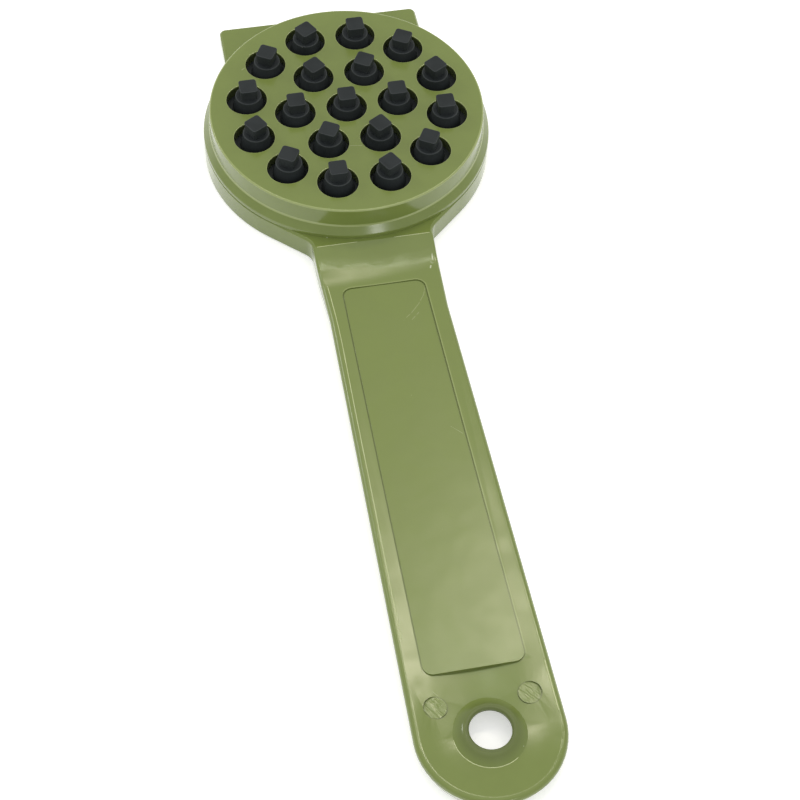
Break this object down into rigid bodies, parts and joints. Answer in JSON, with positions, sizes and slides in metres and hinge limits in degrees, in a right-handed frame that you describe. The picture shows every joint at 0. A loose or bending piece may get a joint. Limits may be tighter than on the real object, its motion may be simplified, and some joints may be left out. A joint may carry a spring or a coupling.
{
  "type": "fish scaler",
  "caption": "Hand-held fish scaler: flat dished handle with a hanging hole, a round head whose perforated cap holds a toothed rubber pad, and a flat scraper wing.",
  "frame": {"origin": "on the flat back, under the middle of the tool's overall box", "axes": "+Y from the handle's round end to the scraper wing, +Z out of the toothed face, +X across the handle"},
  "size_m": [0.072, 0.2288, 0.0195],
  "materials": {
    "handle_plastic": "satin moulded olive-green plastic",
    "cap_plastic": "satin moulded olive-green plastic",
    "pad_rubber": "matt black moulded rubber"
  },
  "bodies": {
    "root": {"handle_body": "handle_plastic", "face_cap": "cap_plastic", "tooth_pad": "pad_rubber"}
  },
  "joints": []
}
